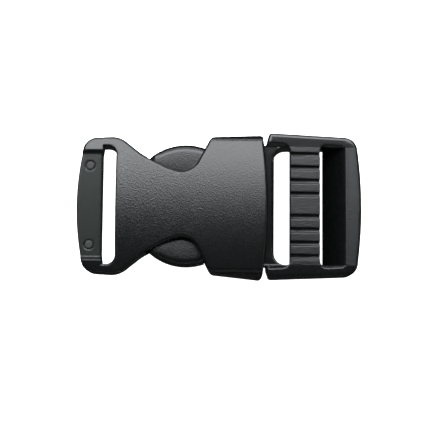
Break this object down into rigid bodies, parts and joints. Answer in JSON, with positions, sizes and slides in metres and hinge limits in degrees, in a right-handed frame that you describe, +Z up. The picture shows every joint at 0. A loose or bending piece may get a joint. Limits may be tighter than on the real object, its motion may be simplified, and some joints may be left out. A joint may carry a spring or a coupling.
{
  "type": "side release buckle",
  "caption": "Side-release buckle for 25 mm webbing: a socket with a fixed strap bar, and a plug with spring arms and a ribbed ladder-lock strap adjuster.",
  "frame": {"origin": "under the middle of the closed buckle's box, on the plane it rests on", "axes": "+X along the strap from the socket's tail to the plug's adjuster end, +Y across the strap, +Z up out of the crowned face"},
  "size_m": [0.0626, 0.032, 0.0114],
  "materials": {
    "socket_acetal": "black moulded acetal, fine spark-eroded grain outside, satin on the strap bar",
    "plug_acetal": "black moulded acetal, fine grain on the bars and pads, smooth on the ramp and rails"
  },
  "bodies": {
    "socket": {"socket": "socket_acetal"},
    "plug": {"plug_frame": "plug_acetal"},
    "arm_left": {"arm_left": "plug_acetal"},
    "arm_right": {"arm_right": "plug_acetal"}
  },
  "joints": [
    {"name": "plug_slide", "type": "slide", "parent": "socket", "child": "plug", "axis": [1, 0, 0], "range_m": [0, 0.034], "deforming": ["arm_left", "arm_right"]},
    {"name": "arm_left_squeeze", "type": "hinge", "parent": "plug", "child": "arm_left", "pos_m": [0.008, 0.0096, 0.0055], "axis": [0, 0, 1], "range_deg": [0, 12], "stiffness_Nm_per_rad": 0.8},
    {"name": "arm_right_squeeze", "type": "hinge", "parent": "plug", "child": "arm_right", "pos_m": [0.008, -0.0096, 0.0055], "axis": [0, 0, -1], "range_deg": [0, 12], "stiffness_Nm_per_rad": 0.8}
  ]
}
